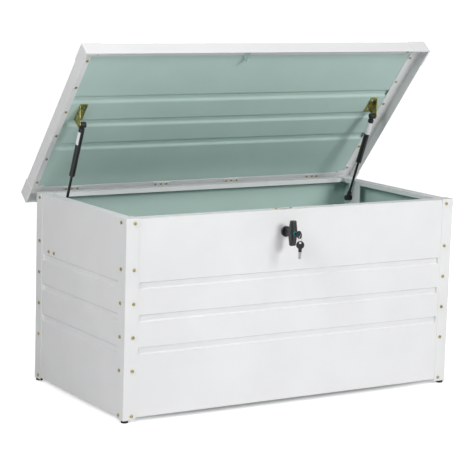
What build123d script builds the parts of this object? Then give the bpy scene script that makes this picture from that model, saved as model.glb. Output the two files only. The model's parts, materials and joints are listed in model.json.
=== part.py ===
from build123d import *
import math
import os

os.makedirs("parts", exist_ok=True)

# Steel storage box with a hinged lid on two gas struts. Millimetres, +Z up, the front faces -Y.
# The lid stands open, as far as the extended struts let it.

# ---- driving dimensions: box ----
BODY_W = 1154.0           # over the corner posts, along X
BODY_D = 582.0            # over the corner posts, along Y
POST_H = 580.0            # corner posts
FOOT_H = 8.0              # plastic feet under the posts
SHEET = 1.0               # wall and lid sheets
POST_T = 1.5              # corner post steel
POST_FLANGE = 40.0
WALL_LIFT = 5.0           # walls end this far above the posts' lower ends
RIM_W = 34.0              # flange folded inwards along the top of each wall
RIM_DROP = 14.0           # and turned down again
HEM_W = 18.0              # flange under the floor
BEND = 1.2

# ---- walls ----
BEAD_TOPS = (398.0, 304.0, 210.0)   # pressed grooves, heights above the posts' lower ends
BEAD_H = 22.0
BEAD_DEPTH = 5.0
BEAD_TAPER = 38.0
BEAD_END = 46.0           # groove ends, from the outside of the post
SCREW_IN = 27.0           # post screws, from the outside of the corner
SCREW_HEIGHTS = (12.0, 143.0, 240.0, 337.0, 434.0, 567.0)
CAP_T = 1.2               # caps over the posts' upper ends
CAP_SKIRT = 22.0

# ---- lid, measured from the hinge axis: l to the front, n upwards when shut ----
LID_ANGLE = 50.5          # open, above level
LID_HALF_W = 610.0
LID_FRONT = 610.0
LID_REAR = -10.0
HINGE_BACK = 6.0          # hinge axis behind the posts
HINGE_DROP = 19.0         # and below the top of the box
RAIL_TOP = 34.0
RAIL_BOTTOM = -6.0
RAIL_SKIN = 1.2
LIP_N = 24.0              # underside of the rails' lower lip
LIP_T = 1.0
LIP_W = 40.0
REAR_LIP_W = 30.0
LID_BEADS = (196.0, 295.0, 394.0)
LID_BEAD_W = 28.0
LID_BEAD_FLAT = 16.0
LID_BEAD_RISE = 6.0
LID_SCREWS_L = (146.0, 246.0, 346.0, 446.0)
LID_SCREWS_X = (180.0, 360.0)
LID_SCREW_IN = 32.0
FRONT_SCREW_IN = 24.0
CORNER_L = 62.0           # lid corner caps
CORNER_T = 1.5

# ---- hinges ----
HINGE_X = (-449.0, -132.0, 132.0, 449.0)
LEAF_W = 60.0
KNUCKLE_R = 4.0
PIN_R = 2.0
RUNNING_FIT = 0.05

# ---- gas struts ----
STRUT_IN = 49.5           # strut axis, in from the outside of the posts
BALL_Y = 204.0            # lower pivot
BALL_Z = 528.0
UPPER_L = 323.0           # upper pivot, in the lid
UPPER_N = -8.0
TUBE_R = 9.0
TUBE_BORE = 7.6
ROD_R = 4.0
TUBE_START = 136.0        # along the open strut, from the lower pivot
TUBE_END = 296.0
SOCKET_R = 9.0
SOCKET_W = 18.0
STRUT_PLATE_Y = 185.0
STRUT_PLATE_W = 60.0
STRUT_PLATE_T = 2.0
TAB_X = 538.5             # lid bracket's tab, inner face
TAB_T = 2.0

# ---- lock ----
LOCK_X = -45.0
LOCK_Z = 523.0
ROSETTE_R = 16.0
BARREL_R = 10.0
SPINDLE_R = 5.0
HANDLE_L = 75.0
HANDLE_Y = -329.0         # middle of the grip
GRIP_MIDDLE = (25.0, 21.0, 6.0)   # width, depth and corner radius half way up
GRIP_END = (18.0, 14.0, 5.0)      # and at its ends
PLUG_R = 6.5
KEY_R = 12.0
KEY_T = 3.0
KEY_HOLE_R = 3.4
KEY_Y = -363.0            # middle of the key's head
KEY_HOLE_OFF = 6.5
RING_R = 9.5
RING_WIRE = 0.8
RING_SIT = 1.7            # the ring's wire rests this far below the middle of a key's hole
RING_TURN = 29.0          # about the vertical
SPARE_TURN = 58.0

# ---- worked out ----
TOP = FOOT_H + POST_H
HALF_W = BODY_W / 2
HALF_D = BODY_D / 2
WALL_X = HALF_W - POST_T
WALL_Y = HALF_D - POST_T
WALL_Z = FOOT_H + WALL_LIFT
WALL_H = TOP - WALL_Z
HINGE_Y = HALF_D + HINGE_BACK
HINGE_Z = TOP - HINGE_DROP
LID_PLACE = Pos(0, HINGE_Y, HINGE_Z) * Rot(-LID_ANGLE, 0, 0)
STRUT_X = HALF_W - STRUT_IN

parts = {}


def mirrored(shape):
    """The same piece on the other side of the box."""
    return mirror(shape, about=Plane.YZ)


def block(x0, x1, y0, y1, z0, z1):
    """A box between two corners."""
    return Pos((x0 + x1) / 2, (y0 + y1) / 2, (z0 + z1) / 2) * Box(x1 - x0, y1 - y0, z1 - z0)


def rod_x(radius, x0, x1, y, z):
    return Pos((x0 + x1) / 2, y, z) * Rot(0, 90, 0) * Cylinder(radius, x1 - x0)


def rod_y(radius, y0, y1, x, z):
    return Pos(x, (y0 + y1) / 2, z) * Rot(90, 0, 0) * Cylinder(radius, y1 - y0)


def rod_z(radius, z0, z1, x, y):
    return Pos(x, y, (z0 + z1) / 2) * Cylinder(radius, z1 - z0)


def section_along_x(points, half, rounded=()):
    """Extrudes a closed (y, z) outline both ways along X, with some of its corners rounded."""
    face = make_face(Polyline(*points, close=True))
    for index, radius in rounded:
        corner = Vector(*points[index])
        face = fillet(face.vertices().sort_by_distance(corner)[0], radius)
    return extrude(Plane.YZ * face, half, both=True)


# ---- walls ----


def wall(length, bead_length, rim_cut, hem_cut):
    """A wall sheet standing on z = 0 with its outside on y = 0 and its folds towards +Y."""
    t = SHEET
    outline = [
        (0, 0), (HEM_W, 0), (HEM_W, t), (t, t), (t, WALL_H - t), (RIM_W - t, WALL_H - t),
        (RIM_W - t, WALL_H - RIM_DROP), (RIM_W, WALL_H - RIM_DROP), (RIM_W, WALL_H), (0, WALL_H),
    ]
    sheet = section_along_x(outline, length / 2, [(8, BEND), (9, BEND), (0, BEND)])
    for top in BEAD_TOPS:
        middle = top - BEAD_H / 2 - WALL_LIFT
        plane = Plane(origin=(0, 0, middle), x_dir=(1, 0, 0), z_dir=(0, 1, 0))
        skin = 1.6 * t
        outer = extrude(plane * Rectangle(bead_length + skin, BEAD_H + skin), BEAD_DEPTH + t, taper=BEAD_TAPER)
        inner = extrude(plane * Rectangle(bead_length, BEAD_H), BEAD_DEPTH, taper=BEAD_TAPER)
        sheet = sheet + outer - inner
    for side in (-1, 1):
        end = side * (length / 2 + 1)
        rim = side * (length / 2 - rim_cut)
        hem = side * (length / 2 - hem_cut)
        sheet -= block(min(end, rim), max(end, rim), t + 0.05, RIM_W + 1, WALL_H - RIM_DROP - 1, WALL_H + 1)
        sheet -= block(min(end, hem), max(end, hem), t + 0.05, HEM_W + 1, -1, t + 0.5)
    return sheet


def wall_holes(half_span, radius=2.6):
    """Post screw holes through a wall, in the wall's own frame."""
    holes = [
        rod_y(radius, -1, 3, side * (half_span - SCREW_IN), height - WALL_LIFT)
        for side in (-1, 1)
        for height in SCREW_HEIGHTS
    ]
    return Compound(holes)


front_length = 2 * (WALL_X - 0.2)
side_length = 2 * (WALL_Y - SHEET - 0.2)
long_wall = wall(front_length, BODY_W - 2 * BEAD_END, 1.2, 1.2) - wall_holes(HALF_W)
short_wall = wall(side_length, BODY_D - 2 * BEAD_END, RIM_W + 0.5, HEM_W + 0.6) - wall_holes(HALF_D)

HINGE_SCREW_X = (-20.0, 0.0, 20.0)
LOWER_SCREW_Z = HINGE_Z + 10   # behind the rim's turned-down edge
LATCH_SCREW_X = (LOCK_X - 26, LOCK_X + 26)
LATCH_SCREW_Y = -WALL_Y + 15
STRUT_SCREW_Y = (STRUT_PLATE_Y - 18, STRUT_PLATE_Y + 18)
STRUT_SCREW_Z = FOOT_H + 409

front_wall = Pos(0, -WALL_Y, WALL_Z) * long_wall
front_wall -= rod_y(BARREL_R + 0.1, -WALL_Y - 2, -WALL_Y + 3, LOCK_X, LOCK_Z)
front_wall -= block(LOCK_X - 18, LOCK_X + 18, -WALL_Y + 9.5, -WALL_Y + 28, TOP - 3, TOP + 1)
for x in LATCH_SCREW_X:
    front_wall -= rod_z(2.1, TOP - 3, TOP + 1, x, LATCH_SCREW_Y)
parts["front_panel"] = front_wall

rear_wall = Pos(0, WALL_Y, WALL_Z) * Rot(0, 0, 180) * long_wall
for x in HINGE_X:
    for dx in HINGE_SCREW_X:
        rear_wall -= rod_y(2.1, WALL_Y - 3, WALL_Y + 2, x + dx, LOWER_SCREW_Z)
parts["rear_panel"] = rear_wall

left_wall = Pos(-WALL_X, 0, WALL_Z) * Rot(0, 0, -90) * short_wall
right_wall = Pos(WALL_X, 0, WALL_Z) * Rot(0, 0, 90) * short_wall
for y in STRUT_SCREW_Y:
    left_wall -= rod_x(2.6, -WALL_X - 1, -WALL_X + 3, y, STRUT_SCREW_Z)
    right_wall -= rod_x(2.6, WALL_X - 3, WALL_X + 1, y, STRUT_SCREW_Z)
parts["left_panel"] = left_wall
parts["right_panel"] = right_wall

# ---- floor: a sheet on the walls' hems, with two pressed ribs ----

floor_z = WALL_Z + SHEET
floor_x = WALL_X - SHEET - 0.4
floor_y = WALL_Y - SHEET - 0.4
floor = block(-floor_x, floor_x, -floor_y, floor_y, floor_z, floor_z + SHEET)
for y in (-BODY_D / 6, BODY_D / 6):
    rib = Plane(origin=(0, y, floor_z), x_dir=(1, 0, 0), z_dir=(0, 0, 1))
    outer_rib = extrude(rib * Rectangle(BODY_W - 160 + 2, 32), 5 + SHEET, taper=BEAD_TAPER)
    inner_rib = extrude(rib * Rectangle(BODY_W - 160, 30), 5, taper=BEAD_TAPER)
    floor = floor + outer_rib - inner_rib
parts["floor_panel"] = floor

# ---- corner posts, their caps and feet ----


def post():
    """The front left post: an angle with its corner on the outside of the box."""
    f = POST_FLANGE
    outline = [(0, 0), (f, 0), (f, POST_T), (POST_T, POST_T), (POST_T, f), (0, f)]
    face = make_face(Polyline(*outline, close=True))
    face = fillet(face.vertices().sort_by_distance(Vector(0, 0))[0], 1.4)
    angle = Pos(-HALF_W, -HALF_D, FOOT_H) * extrude(face, POST_H)
    for height in SCREW_HEIGHTS:
        z = FOOT_H + height
        angle -= rod_y(2.6, -HALF_D - 1, -HALF_D + 3, -HALF_W + SCREW_IN, z)
        angle -= rod_x(2.6, -HALF_W - 1, -HALF_W + 3, -HALF_D + SCREW_IN, z)
    return angle


def post_cap():
    """The cap over the front left post: a square top with two skirts outside the post."""
    size = POST_FLANGE + 1
    x, y = -HALF_W, -HALF_D
    shell = block(x - CAP_T, x + size, y - CAP_T, y + size, TOP - CAP_SKIRT, TOP + CAP_T)
    shell = fillet(shell.edges().filter_by(Axis.Z).sort_by_distance(Vector(x, y, TOP))[0], 1.5)
    shell -= block(x, x + size + 1, y, y + size + 1, TOP - CAP_SKIRT - 1, TOP)
    z = FOOT_H + SCREW_HEIGHTS[-1]
    shell -= rod_y(2.6, y - 2, y + 1, x + SCREW_IN, z)
    shell -= rod_x(2.6, x - 2, x + 1, y + SCREW_IN, z)
    return shell


def foot():
    """The front left foot: a ribbed disc with a boss that sits inside the post."""
    x, y = -HALF_W + 11.5, -HALF_D + 11.5
    disc = rod_z(11, 0, FOOT_H, x, y)
    disc = fillet(disc.edges().sort_by(Axis.Z)[0], 1.5)
    inner = POST_T + 0.1
    boss = block(-HALF_W + inner, -HALF_W + 24, -HALF_D + inner, -HALF_D + 24, FOOT_H, FOOT_H + 4.5)
    return disc + boss


def on_corners(shape):
    """One copy of a front left piece on each corner of the box."""
    rear = mirror(shape, about=Plane.XZ)
    return {
        "front_left": shape,
        "front_right": mirrored(shape),
        "rear_left": rear,
        "rear_right": mirrored(rear),
    }


for corner, shape in on_corners(post()).items():
    parts["post_" + corner] = shape
parts["post_caps"] = Compound(list(on_corners(post_cap()).values()))
parts["feet"] = Compound(list(on_corners(foot()).values()))

# ---- screws and nuts: made pointing along -Z with the head's seat on z = 0 ----


def pan_screw(radius, head_r, head_h, length):
    """A cross-recess pan head screw."""
    shank = rod_z(radius, -length, 0, 0, 0)
    head = rod_z(head_r, 0, head_h, 0, 0)
    head = fillet(head.edges().sort_by(Axis.Z)[-1], head_h * 0.6)
    slot = head_r * 0.95
    cross = Box(slot, head_r * 0.22, head_h) + Box(head_r * 0.22, slot, head_h)
    return shank + head - Pos(0, 0, head_h) * cross


def hex_nut(flats, thickness, bore):
    """A nut whose seat is on z = 0 and which reaches down to -thickness."""
    prism = extrude(RegularPolygon(flats / 2, 6, major_radius=False), -thickness)
    return prism - rod_z(bore, -thickness - 1, 1, 0, 0)


TOWARDS_FRONT = Rot(90, 0, 0)      # screw head faces -Y
TOWARDS_LEFT = Rot(0, -90, 0)      # screw head faces -X
post_screw = pan_screw(2.45, 5.0, 3.2, 9.0)
post_nut = hex_nut(8.0, 4.0, 2.5)
wall_stack = POST_T + SHEET

corner_screws = []
corner_nuts = []
for height in SCREW_HEIGHTS:
    z = FOOT_H + height
    seat = CAP_T if height == SCREW_HEIGHTS[-1] else 0.0
    front_x = -HALF_W + SCREW_IN
    side_y = -HALF_D + SCREW_IN
    corner_screws.append(Pos(front_x, -HALF_D - seat, z) * TOWARDS_FRONT * post_screw)
    corner_screws.append(Pos(-HALF_W - seat, side_y, z) * TOWARDS_LEFT * post_screw)
    corner_nuts.append(Pos(front_x, -HALF_D + wall_stack, z) * TOWARDS_FRONT * post_nut)
    corner_nuts.append(Pos(-HALF_W + wall_stack, side_y, z) * TOWARDS_LEFT * post_nut)
post_screws = []
post_nuts = []
for shape in corner_screws:
    post_screws += on_corners(shape).values()
for shape in corner_nuts:
    post_nuts += on_corners(shape).values()
parts["post_screws"] = Compound(post_screws)
parts["post_nuts"] = Compound(post_nuts)

# ---- strut plates: hung inside the rim, turned out to the wall below ----


def strut_plate():
    """The left plate. Its outline is in (x, z), extruded along Y."""
    face_x = -WALL_X + RIM_W
    foot_x = -WALL_X + SHEET
    t = STRUT_PLATE_T
    outline = [
        (face_x, TOP - SHEET - 0.5), (face_x + t, TOP - SHEET - 0.5), (face_x + t, 456), (foot_x + t, 430),
        (foot_x + t, FOOT_H + 400.5), (foot_x, FOOT_H + 400.5), (foot_x, 430.8), (face_x, 456.8),
    ]
    face = make_face(Polyline(*outline, close=True))
    plate = Pos(0, STRUT_PLATE_Y, 0) * extrude(Plane.XZ * face, STRUT_PLATE_W / 2, both=True)
    plate -= rod_x(ROD_R + 0.05, face_x - 1, face_x + t + 1, BALL_Y, BALL_Z)
    for y in STRUT_SCREW_Y:
        plate -= rod_x(2.6, foot_x - 1, foot_x + t + 1, y, STRUT_SCREW_Z)
    return plate


def lower_stud():
    """The left lower pivot, riveted in the strut plate."""
    face_x = -WALL_X + RIM_W + STRUT_PLATE_T
    back_x = face_x - STRUT_PLATE_T
    stud = rod_x(SOCKET_R - 1, face_x, face_x + 1.5, BALL_Y, BALL_Z)
    stud += rod_x(ROD_R, back_x, -STRUT_X + SOCKET_W / 2 - 1.5, BALL_Y, BALL_Z)
    stud += rod_x(ROD_R + 1.5, back_x - 1.5, back_x, BALL_Y, BALL_Z)
    return stud


plate_screw = pan_screw(2.45, 5.0, 3.2, 9.0)
plate_fixings = []
for y in STRUT_SCREW_Y:
    plate_fixings.append(Pos(-WALL_X, y, STRUT_SCREW_Z) * TOWARDS_LEFT * plate_screw)
    plate_nut = Pos(-WALL_X + SHEET + STRUT_PLATE_T, y, STRUT_SCREW_Z) * TOWARDS_LEFT * post_nut
    plate_fixings.append(plate_nut)
plate_fixings += [mirrored(shape) for shape in list(plate_fixings)]

parts["strut_plate_left"] = strut_plate()
parts["strut_plate_right"] = mirrored(strut_plate())
parts["lower_pivot_studs"] = Compound([lower_stud(), mirrored(lower_stud())])
parts["strut_plate_screws"] = Compound(plate_fixings)

# ---- hinges ----


def lower_leaf(x):
    """Leaf on the outside of the rear wall with the two outer knuckles."""
    half = LEAF_W / 2
    web = block(-half, half, WALL_Y + 2, HINGE_Y - 1, HINGE_Z - 4, HINGE_Z - 2)
    leaf = block(-half, half, WALL_Y, WALL_Y + 2, HINGE_Z - 16, TOP - 3) + web
    leaf += rod_x(KNUCKLE_R, -half, half, HINGE_Y, HINGE_Z)
    leaf -= block(-12, 12, WALL_Y + 2.01, HINGE_Y + 6, HINGE_Z - 6, HINGE_Z + 6)
    leaf -= rod_x(PIN_R, -half - 1, half + 1, HINGE_Y, HINGE_Z)
    for dx in HINGE_SCREW_X:
        leaf -= rod_y(2.1, WALL_Y - 1, WALL_Y + 3, dx, LOWER_SCREW_Z)
    return Pos(x, 0, 0) * leaf


UPPER_SCREW_L = 10.0


def upper_leaf(x):
    """Leaf under the lid's rear lip, in lid coordinates, with the middle knuckle."""
    half = LEAF_W / 2
    middle = 11.7
    web = block(-middle, middle, KNUCKLE_R - 1.5, KNUCKLE_R, 0, LIP_N - 1.5)
    flange = block(-half, half, -18, KNUCKLE_R, LIP_N - 1.5, LIP_N)
    leaf = rod_x(KNUCKLE_R, -middle, middle, 0, 0) + web + flange
    leaf -= rod_x(PIN_R + RUNNING_FIT, -middle - 1, middle + 1, 0, 0)
    for dx in HINGE_SCREW_X:
        leaf -= rod_z(2.1, LIP_N - 3, LIP_N + 1, dx, -UPPER_SCREW_L)
    return LID_PLACE * Pos(x, 0, 0) * leaf


small_screw = pan_screw(1.95, 3.6, 1.9, 4.5)
small_nut = hex_nut(6.0, 2.4, 2.0)
lower_screws = []
upper_screws = []
for x in HINGE_X:
    for dx in HINGE_SCREW_X:
        outer = Pos(x + dx, WALL_Y + 2, LOWER_SCREW_Z) * Rot(-90, 0, 0)
        lower_screws.append(outer * pan_screw(1.95, 3.6, 1.9, 6.5))
        lower_screws.append(Pos(x + dx, WALL_Y - SHEET, LOWER_SCREW_Z) * Rot(-90, 0, 0) * small_nut)
        upper_screws.append(LID_PLACE * Pos(x + dx, -UPPER_SCREW_L, LIP_N - 1.5) * Rot(180, 0, 0) * small_screw)
pins = [rod_x(PIN_R, x - LEAF_W / 2 - 1.5, x + LEAF_W / 2 + 1.5, HINGE_Y, HINGE_Z) for x in HINGE_X]

parts["hinge_lower_leaves"] = Compound([lower_leaf(x) for x in HINGE_X])
parts["hinge_upper_leaves"] = Compound([upper_leaf(x) for x in HINGE_X])
parts["hinge_pins"] = Compound(pins)
parts["hinge_lower_screws"] = Compound(lower_screws)
parts["hinge_upper_screws"] = Compound(upper_screws)

# ---- lid, drawn shut with the hinge axis on X, then placed open: y = -l, z = n ----


def lid_panel():
    """The lid's sheet, with three ribs pressed upwards along its whole length."""
    bottom = LIP_N + LIP_T
    lower = []
    for middle in sorted(LID_BEADS, reverse=True):
        lower += [
            (-middle - LID_BEAD_W / 2, bottom), (-middle - LID_BEAD_FLAT / 2, bottom + LID_BEAD_RISE),
            (-middle + LID_BEAD_FLAT / 2, bottom + LID_BEAD_RISE), (-middle + LID_BEAD_W / 2, bottom),
        ]
    ends = [(-LID_FRONT + 3, bottom)], [(-LID_REAR - 3, bottom)]
    lower = ends[0] + lower + ends[1]
    upper = [(y, z + SHEET) for y, z in reversed(lower)]
    sheet = section_along_x(lower + upper, LID_HALF_W - 3)
    for x in HINGE_X:
        for dx in HINGE_SCREW_X:
            sheet -= rod_z(2.1, bottom - 1, bottom + 2, x + dx, -UPPER_SCREW_L)
    for x, y in rail_screw_places():
        sheet -= rod_z(2.1, bottom - 1, bottom + 2, x, y)
    return sheet


def rail_screw_places():
    """Screws up through the rails' lip into the lid sheet, in shut lid coordinates."""
    side_x = LID_HALF_W - LID_SCREW_IN
    places = [(s * side_x, -l) for s in (-1, 1) for l in LID_SCREWS_L]
    places += [(s * side_x, -l) for s in (-1, 1) for l in (LID_FRONT - 57, 45.0)]
    places += [(s * (LID_HALF_W - 56), -LID_FRONT + 29) for s in (-1, 1)]
    places += [(s * x, -LID_FRONT + FRONT_SCREW_IN) for x in LID_SCREWS_X for s in (-1, 1)]
    return places


def rail_outline(lip):
    """Rail section: u inwards from the rail's outside, n upwards."""
    lip_top = LIP_N + LIP_T
    hem = 2 * RAIL_SKIN
    return [
        (0, RAIL_TOP), (lip, RAIL_TOP), (lip, RAIL_TOP - 1), (RAIL_SKIN, RAIL_TOP - 1), (RAIL_SKIN, lip_top),
        (lip, lip_top), (lip, LIP_N), (hem, LIP_N), (hem, RAIL_BOTTOM), (0, RAIL_BOTTOM),
    ]


def rail_holes():
    holes = [rod_z(2.1, LIP_N - 1, LIP_N + LIP_T + 0.5, x, y) for x, y in rail_screw_places()]
    for x in HINGE_X:
        for dx in HINGE_SCREW_X:
            holes.append(rod_z(2.1, LIP_N - 1, LIP_N + LIP_T + 0.5, x + dx, -UPPER_SCREW_L))
    return Compound(holes)


def plan(points):
    """A tall prism over an (x, l) outline, which mitres the rails' ends."""
    return Pos(0, 0, -50) * extrude(make_face(Polyline(*[(x, -l) for x, l in points], close=True)), 150)


MITRE_GAP = 0.1
w, f, r = LID_HALF_W, LID_FRONT, LID_REAR
g = MITRE_GAP
inner_w, inner_f, inner_r = w - LIP_W, f - LIP_W, r + REAR_LIP_W
front_plan = plan([(-w + g, f), (w - g, f), (inner_w - g, inner_f), (-inner_w + g, inner_f)])
rear_plan = plan([(-w + g, r), (w - g, r), (inner_w - g, inner_r), (-inner_w + g, inner_r)])
side_plan = plan([(-w, f - g), (-w, r + g), (-inner_w, inner_r + g), (-inner_w, inner_f - g)])

front_section = [(-f + u, n) for u, n in rail_outline(LIP_W)]
rear_section = [(-r - u, n) for u, n in rail_outline(REAR_LIP_W)]
side_section = [(-w + u, n) for u, n in rail_outline(LIP_W)]
front_rail = section_along_x(front_section, w, [(0, 1.1), (9, 0.8)]) & front_plan
rear_rail = section_along_x(rear_section, w, [(0, 1.1), (9, 0.8)]) & rear_plan
side_face = make_face(Polyline(*side_section, close=True))
side_face = fillet(side_face.vertices().sort_by_distance(Vector(*side_section[0]))[0], 1.1)
left_rail = extrude(Plane.XZ * side_face, 700, both=True) & side_plan
holes = rail_holes()
parts["lid_panel"] = LID_PLACE * lid_panel()
parts["lid_rail_front"] = LID_PLACE * (front_rail - holes)
parts["lid_rail_rear"] = LID_PLACE * (rear_rail - holes)
parts["lid_rail_left"] = LID_PLACE * (left_rail - holes)
parts["lid_rail_right"] = LID_PLACE * (mirrored(left_rail) - holes)


def corner_cap():
    """A cap round the front left corner of the lid: it wraps the rails' top, skirt and lip."""
    hem = 2 * RAIL_SKIN
    t = CORNER_T
    reach = LIP_W - 1
    outline = [
        (-t, RAIL_TOP + 1.2), (LIP_W, RAIL_TOP + 1.2), (LIP_W, RAIL_TOP), (0, RAIL_TOP), (0, RAIL_BOTTOM),
        (hem, RAIL_BOTTOM), (hem, LIP_N), (reach, LIP_N), (reach, LIP_N - 1.2), (hem + 1.2, LIP_N - 1.2),
        (hem + 1.2, RAIL_BOTTOM - 1.2), (-t, RAIL_BOTTOM - 1.2),
    ]
    along_y = make_face(Polyline(*[(-w + u, n) for u, n in outline], close=True))
    side = extrude(Plane.XZ * along_y, 700, both=True)
    along_x = make_face(Polyline(*[(-f + u, n) for u, n in outline], close=True))
    front = extrude(Plane.YZ * along_x, 700, both=True)
    c = CORNER_L
    side &= plan([(-w - t, f + t), (-w - t, f - c), (-w + LIP_W + 1, f - c), (-w + LIP_W + 1, f - LIP_W - 1)])
    front &= plan([(-w - t, f + t), (-w + c, f + t), (-w + c, f - LIP_W - 1), (-w + LIP_W + 1, f - LIP_W - 1)])
    cap = side + front
    cap = fillet(cap.edges().filter_by(Axis.Z).sort_by_distance(Vector(-w - t, -f - t, 10))[0], 3.0)
    for x, y in rail_screw_places():
        cap -= rod_z(2.1, LIP_N - 3, LIP_N + 0.5, x, y)
    return cap


lid_middle = (LID_FRONT + LID_REAR) / 2
front_cap = corner_cap()
rear_cap = mirror(front_cap, about=Plane.XZ.offset(lid_middle))
for name, shape in (("front_left", front_cap), ("rear_left", rear_cap)):
    for x, y in rail_screw_places():
        shape -= rod_z(2.1, LIP_N - 3, LIP_N + 0.5, x, y)
    parts["lid_corner_" + name] = LID_PLACE * shape
    parts["lid_corner_" + name.replace("left", "right")] = LID_PLACE * mirrored(shape)

lid_screws = []
for x, y in rail_screw_places():
    near_corner = abs(y) > LID_FRONT - CORNER_L or abs(y) < CORNER_L + LID_REAR
    near_corner = near_corner and abs(x) > LID_HALF_W - CORNER_L
    seat = LIP_N - 1.2 if near_corner else LIP_N
    lid_screws.append(LID_PLACE * Pos(x, y, seat) * Rot(180, 0, 0) * pan_screw(1.95, 4.2, 2.2, 5.0))
parts["lid_screws"] = Compound(lid_screws)

# ---- strut brackets on the lid's underside ----


BRACKET_RIVET_L = (325.0, 363.0)
BRACKET_RIVET_X = TAB_X - 14


def strut_bracket():
    """The left bracket: a plate under the sheet and a tab turned down beside the strut."""
    top = LIP_N + LIP_T
    l0, l1 = 311.0, 377.0
    plate = block(-TAB_X - TAB_T, -TAB_X + 24, -l1, -l0, top - 2, top)
    outline = [
        (-l0 - 2, top - 1), (-UPPER_L + 9, UPPER_N), (-UPPER_L + 6, UPPER_N - 7), (-UPPER_L - 6, UPPER_N - 7),
        (-UPPER_L - 10, UPPER_N), (-l1 + 4, top - 1),
    ]
    tab = extrude(Plane.YZ * make_face(Polyline(*outline, close=True)), TAB_T)
    bracket = plate + Pos(-TAB_X - TAB_T, 0, 0) * tab
    for l in BRACKET_RIVET_L:
        bracket -= rod_z(1.6, top - 3, top + 1, -BRACKET_RIVET_X, -l)
    return LID_PLACE * bracket


def lid_rivet(x, l, seat):
    """A rivet under the lid whose head seats at height n = seat."""
    body = rod_z(1.55, seat, seat + 1.5, x, -l)
    head = rod_z(3.2, seat - 1.3, seat, x, -l)
    return LID_PLACE * (body + fillet(head.edges().sort_by(Axis.Z)[0], 0.8))


def upper_stud():
    """The left upper pivot: a boss on the tab, just clear of the strut's socket."""
    face = -TAB_X
    stud = rod_x(6.0, face, face + 0.8, -UPPER_L, UPPER_N)
    stud += rod_x(4.0, face, face + 1.4, -UPPER_L, UPPER_N)
    return LID_PLACE * stud


rivets = [lid_rivet(s * BRACKET_RIVET_X, l, LIP_N - 1) for s in (-1, 1) for l in BRACKET_RIVET_L]
parts["strut_bracket_left"] = strut_bracket()
parts["strut_bracket_right"] = mirrored(strut_bracket())
parts["upper_pivot_studs"] = Compound([upper_stud(), mirrored(upper_stud())])

# ---- gas struts, drawn upright from the lower pivot, then leant back against the lid ----

upper_point = LID_PLACE * Pos(0, -UPPER_L, UPPER_N)
rise = upper_point.position.Z - BALL_Z
reach = upper_point.position.Y - BALL_Y
STRUT_LENGTH = math.hypot(rise, reach)
STRUT_LEAN = math.degrees(math.atan2(-reach, rise))
STRUT_PLACE = Pos(-STRUT_X, BALL_Y, BALL_Z) * Rot(STRUT_LEAN, 0, 0)


def lower_socket():
    """Socket with a blind bore over the lower stud and a neck for the rod."""
    half = SOCKET_W / 2
    socket = rod_x(SOCKET_R, -half, half, 0, 0)
    socket = fillet(socket.edges().filter_by(GeomType.CIRCLE), 1.2)
    socket += rod_z(6.5, 6, 22, 0, 0)
    socket -= rod_x(ROD_R + RUNNING_FIT, -half - 1, half - 1.2, 0, 0)
    return socket


def rod():
    piston = rod_z(TUBE_BORE - 0.1, TUBE_START + 16, TUBE_START + 24, 0, 0)
    return rod_z(ROD_R, 22, TUBE_START + 16, 0, 0) + piston


def tube():
    """Closed tube with a guide for the rod at its lower end."""
    body = rod_z(TUBE_R, TUBE_START, TUBE_END, 0, 0)
    body = fillet(body.edges().filter_by(GeomType.CIRCLE), 1.5)
    body -= rod_z(TUBE_BORE, TUBE_START + 12, TUBE_END - 5, 0, 0)
    return body - rod_z(ROD_R + RUNNING_FIT, TUBE_START - 1, TUBE_START + 13, 0, 0)


def upper_socket():
    half = SOCKET_W / 2
    socket = rod_x(SOCKET_R, -half, half, 0, STRUT_LENGTH)
    socket = fillet(socket.edges().filter_by(GeomType.CIRCLE), 1.2)
    return socket + rod_z(6.5, TUBE_END, STRUT_LENGTH - 6, 0, 0)


for name, make in (("strut_socket_lower", lower_socket), ("strut_rod", rod), ("strut_tube", tube),
                   ("strut_socket_upper", upper_socket)):
    shape = STRUT_PLACE * make()
    parts[name + "_left"] = shape
    parts[name + "_right"] = mirrored(shape)

# ---- lock: T-handle, latch tongue, cylinder plug and keys ----

wall_face = -WALL_Y
rosette = rod_y(ROSETTE_R, wall_face - 7, wall_face, LOCK_X, LOCK_Z)
rosette = fillet(rosette.edges().sort_by(Axis.Y)[0], 2.0)
rosette -= rod_y(BARREL_R, wall_face - 8, wall_face + 1, LOCK_X, LOCK_Z)
parts["lock_rosette"] = rosette

barrel = rod_y(BARREL_R - 0.02, wall_face - 8, wall_face + 11, LOCK_X, LOCK_Z)
parts["lock_barrel"] = barrel - rod_y(SPINDLE_R + RUNNING_FIT, wall_face - 9, wall_face + 12, LOCK_X, LOCK_Z)
lock_nut = Pos(LOCK_X, wall_face + SHEET, LOCK_Z) * TOWARDS_FRONT * hex_nut(26.0, 5.0, BARREL_R)
parts["lock_nut"] = lock_nut


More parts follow.
